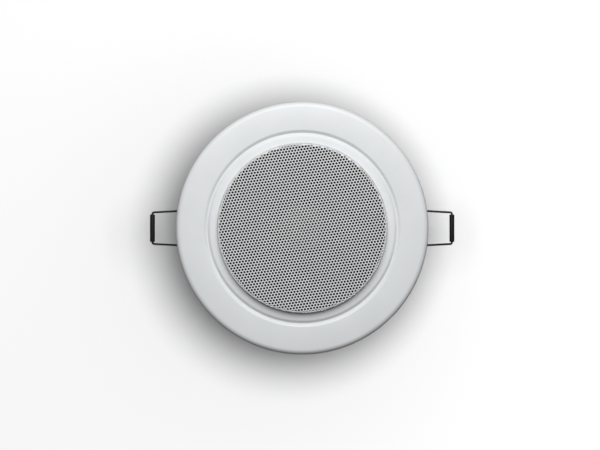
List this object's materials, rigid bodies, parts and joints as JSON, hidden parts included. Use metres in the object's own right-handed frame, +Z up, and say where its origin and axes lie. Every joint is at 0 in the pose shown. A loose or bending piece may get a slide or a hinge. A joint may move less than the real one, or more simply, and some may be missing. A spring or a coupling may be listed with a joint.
{
  "type": "in-ceiling speaker",
  "caption": "Round in-ceiling loudspeaker: white pressed bezel with a groove, raised perforated grille, cone driver behind it, and sprung wire clips that grip the ceiling board.",
  "frame": {"origin": "centre of the ceiling plane, which the rear edge of the bezel's rim meets", "axes": "+Z up into the ceiling void, so the grille faces -Z as installed; +X through the right-hand clip"},
  "size_m": [0.149, 0.123, 0.0426],
  "materials": {
    "white_paint": "semi-gloss powder coat",
    "grille_paint": "fine powder coat on perforated sheet",
    "zinc_steel": "zinc plated",
    "spring_wire": "dark oil-tempered spring wire",
    "black_sleeve": "black tube, satin",
    "basket_steel": "zinc plated stamping",
    "gasket_card": "black card",
    "surround_cloth": "doped black cloth",
    "cone_paper": "pressed black paper",
    "cap_paper": "smooth black paper",
    "former_foil": "thin foil",
    "coil_copper": "enamelled copper wire",
    "spider_cloth": "resin-dipped cloth",
    "plate_steel": "zinc plated",
    "ferrite": "sintered ferrite, matt",
    "phenolic": "brown phenolic board",
    "tinned_brass": "tinned",
    "lead_braid": "braided tinsel"
  },
  "bodies": {
    "frame": {"bezel": "white_paint", "grille": "grille_paint", "left_clip_bracket": "white_paint", "right_clip_bracket": "white_paint", "studs": "zinc_steel", "nuts": "zinc_steel", "left_clip_pin": "zinc_steel", "right_clip_pin": "zinc_steel", "basket": "basket_steel", "gasket": "gasket_card", "surround": "surround_cloth", "spider": "spider_cloth", "top_plate": "plate_steel", "magnet": "ferrite", "yoke": "plate_steel", "terminal_board": "phenolic", "terminal_rivet": "tinned_brass", "terminal_tags": "tinned_brass", "left_lead": "lead_braid", "right_lead": "lead_braid"},
    "left_clip": {"left_clip_spring": "spring_wire", "left_clip_sleeve": "black_sleeve"},
    "right_clip": {"right_clip_spring": "spring_wire", "right_clip_sleeve": "black_sleeve"},
    "cone": {"cone": "cone_paper", "dust_cap": "cap_paper", "coil_former": "former_foil", "voice_coil": "coil_copper"}
  },
  "joints": [
    {"name": "left_clip_hinge", "type": "hinge", "parent": "frame", "child": "left_clip", "pos_m": [-0.05068, 0, 0.008], "axis": [0, 1, 0], "range_deg": [0, 107], "stiffness_Nm_per_rad": 0.06, "springref_deg": -2.01, "deforming": ["left_clip_spring"]},
    {"name": "right_clip_hinge", "type": "hinge", "parent": "frame", "child": "right_clip", "pos_m": [0.05068, 0, 0.008], "axis": [0, -1, 0], "range_deg": [0, 107], "stiffness_Nm_per_rad": 0.06, "springref_deg": -2.01, "deforming": ["right_clip_spring"]},
    {"name": "cone_slide", "type": "slide", "parent": "frame", "child": "cone", "axis": [0, 0, 1], "range_m": [-0.002, 0.002], "stiffness_N_per_m": 1600, "deforming": ["surround", "spider", "left_lead", "right_lead"]}
  ]
}
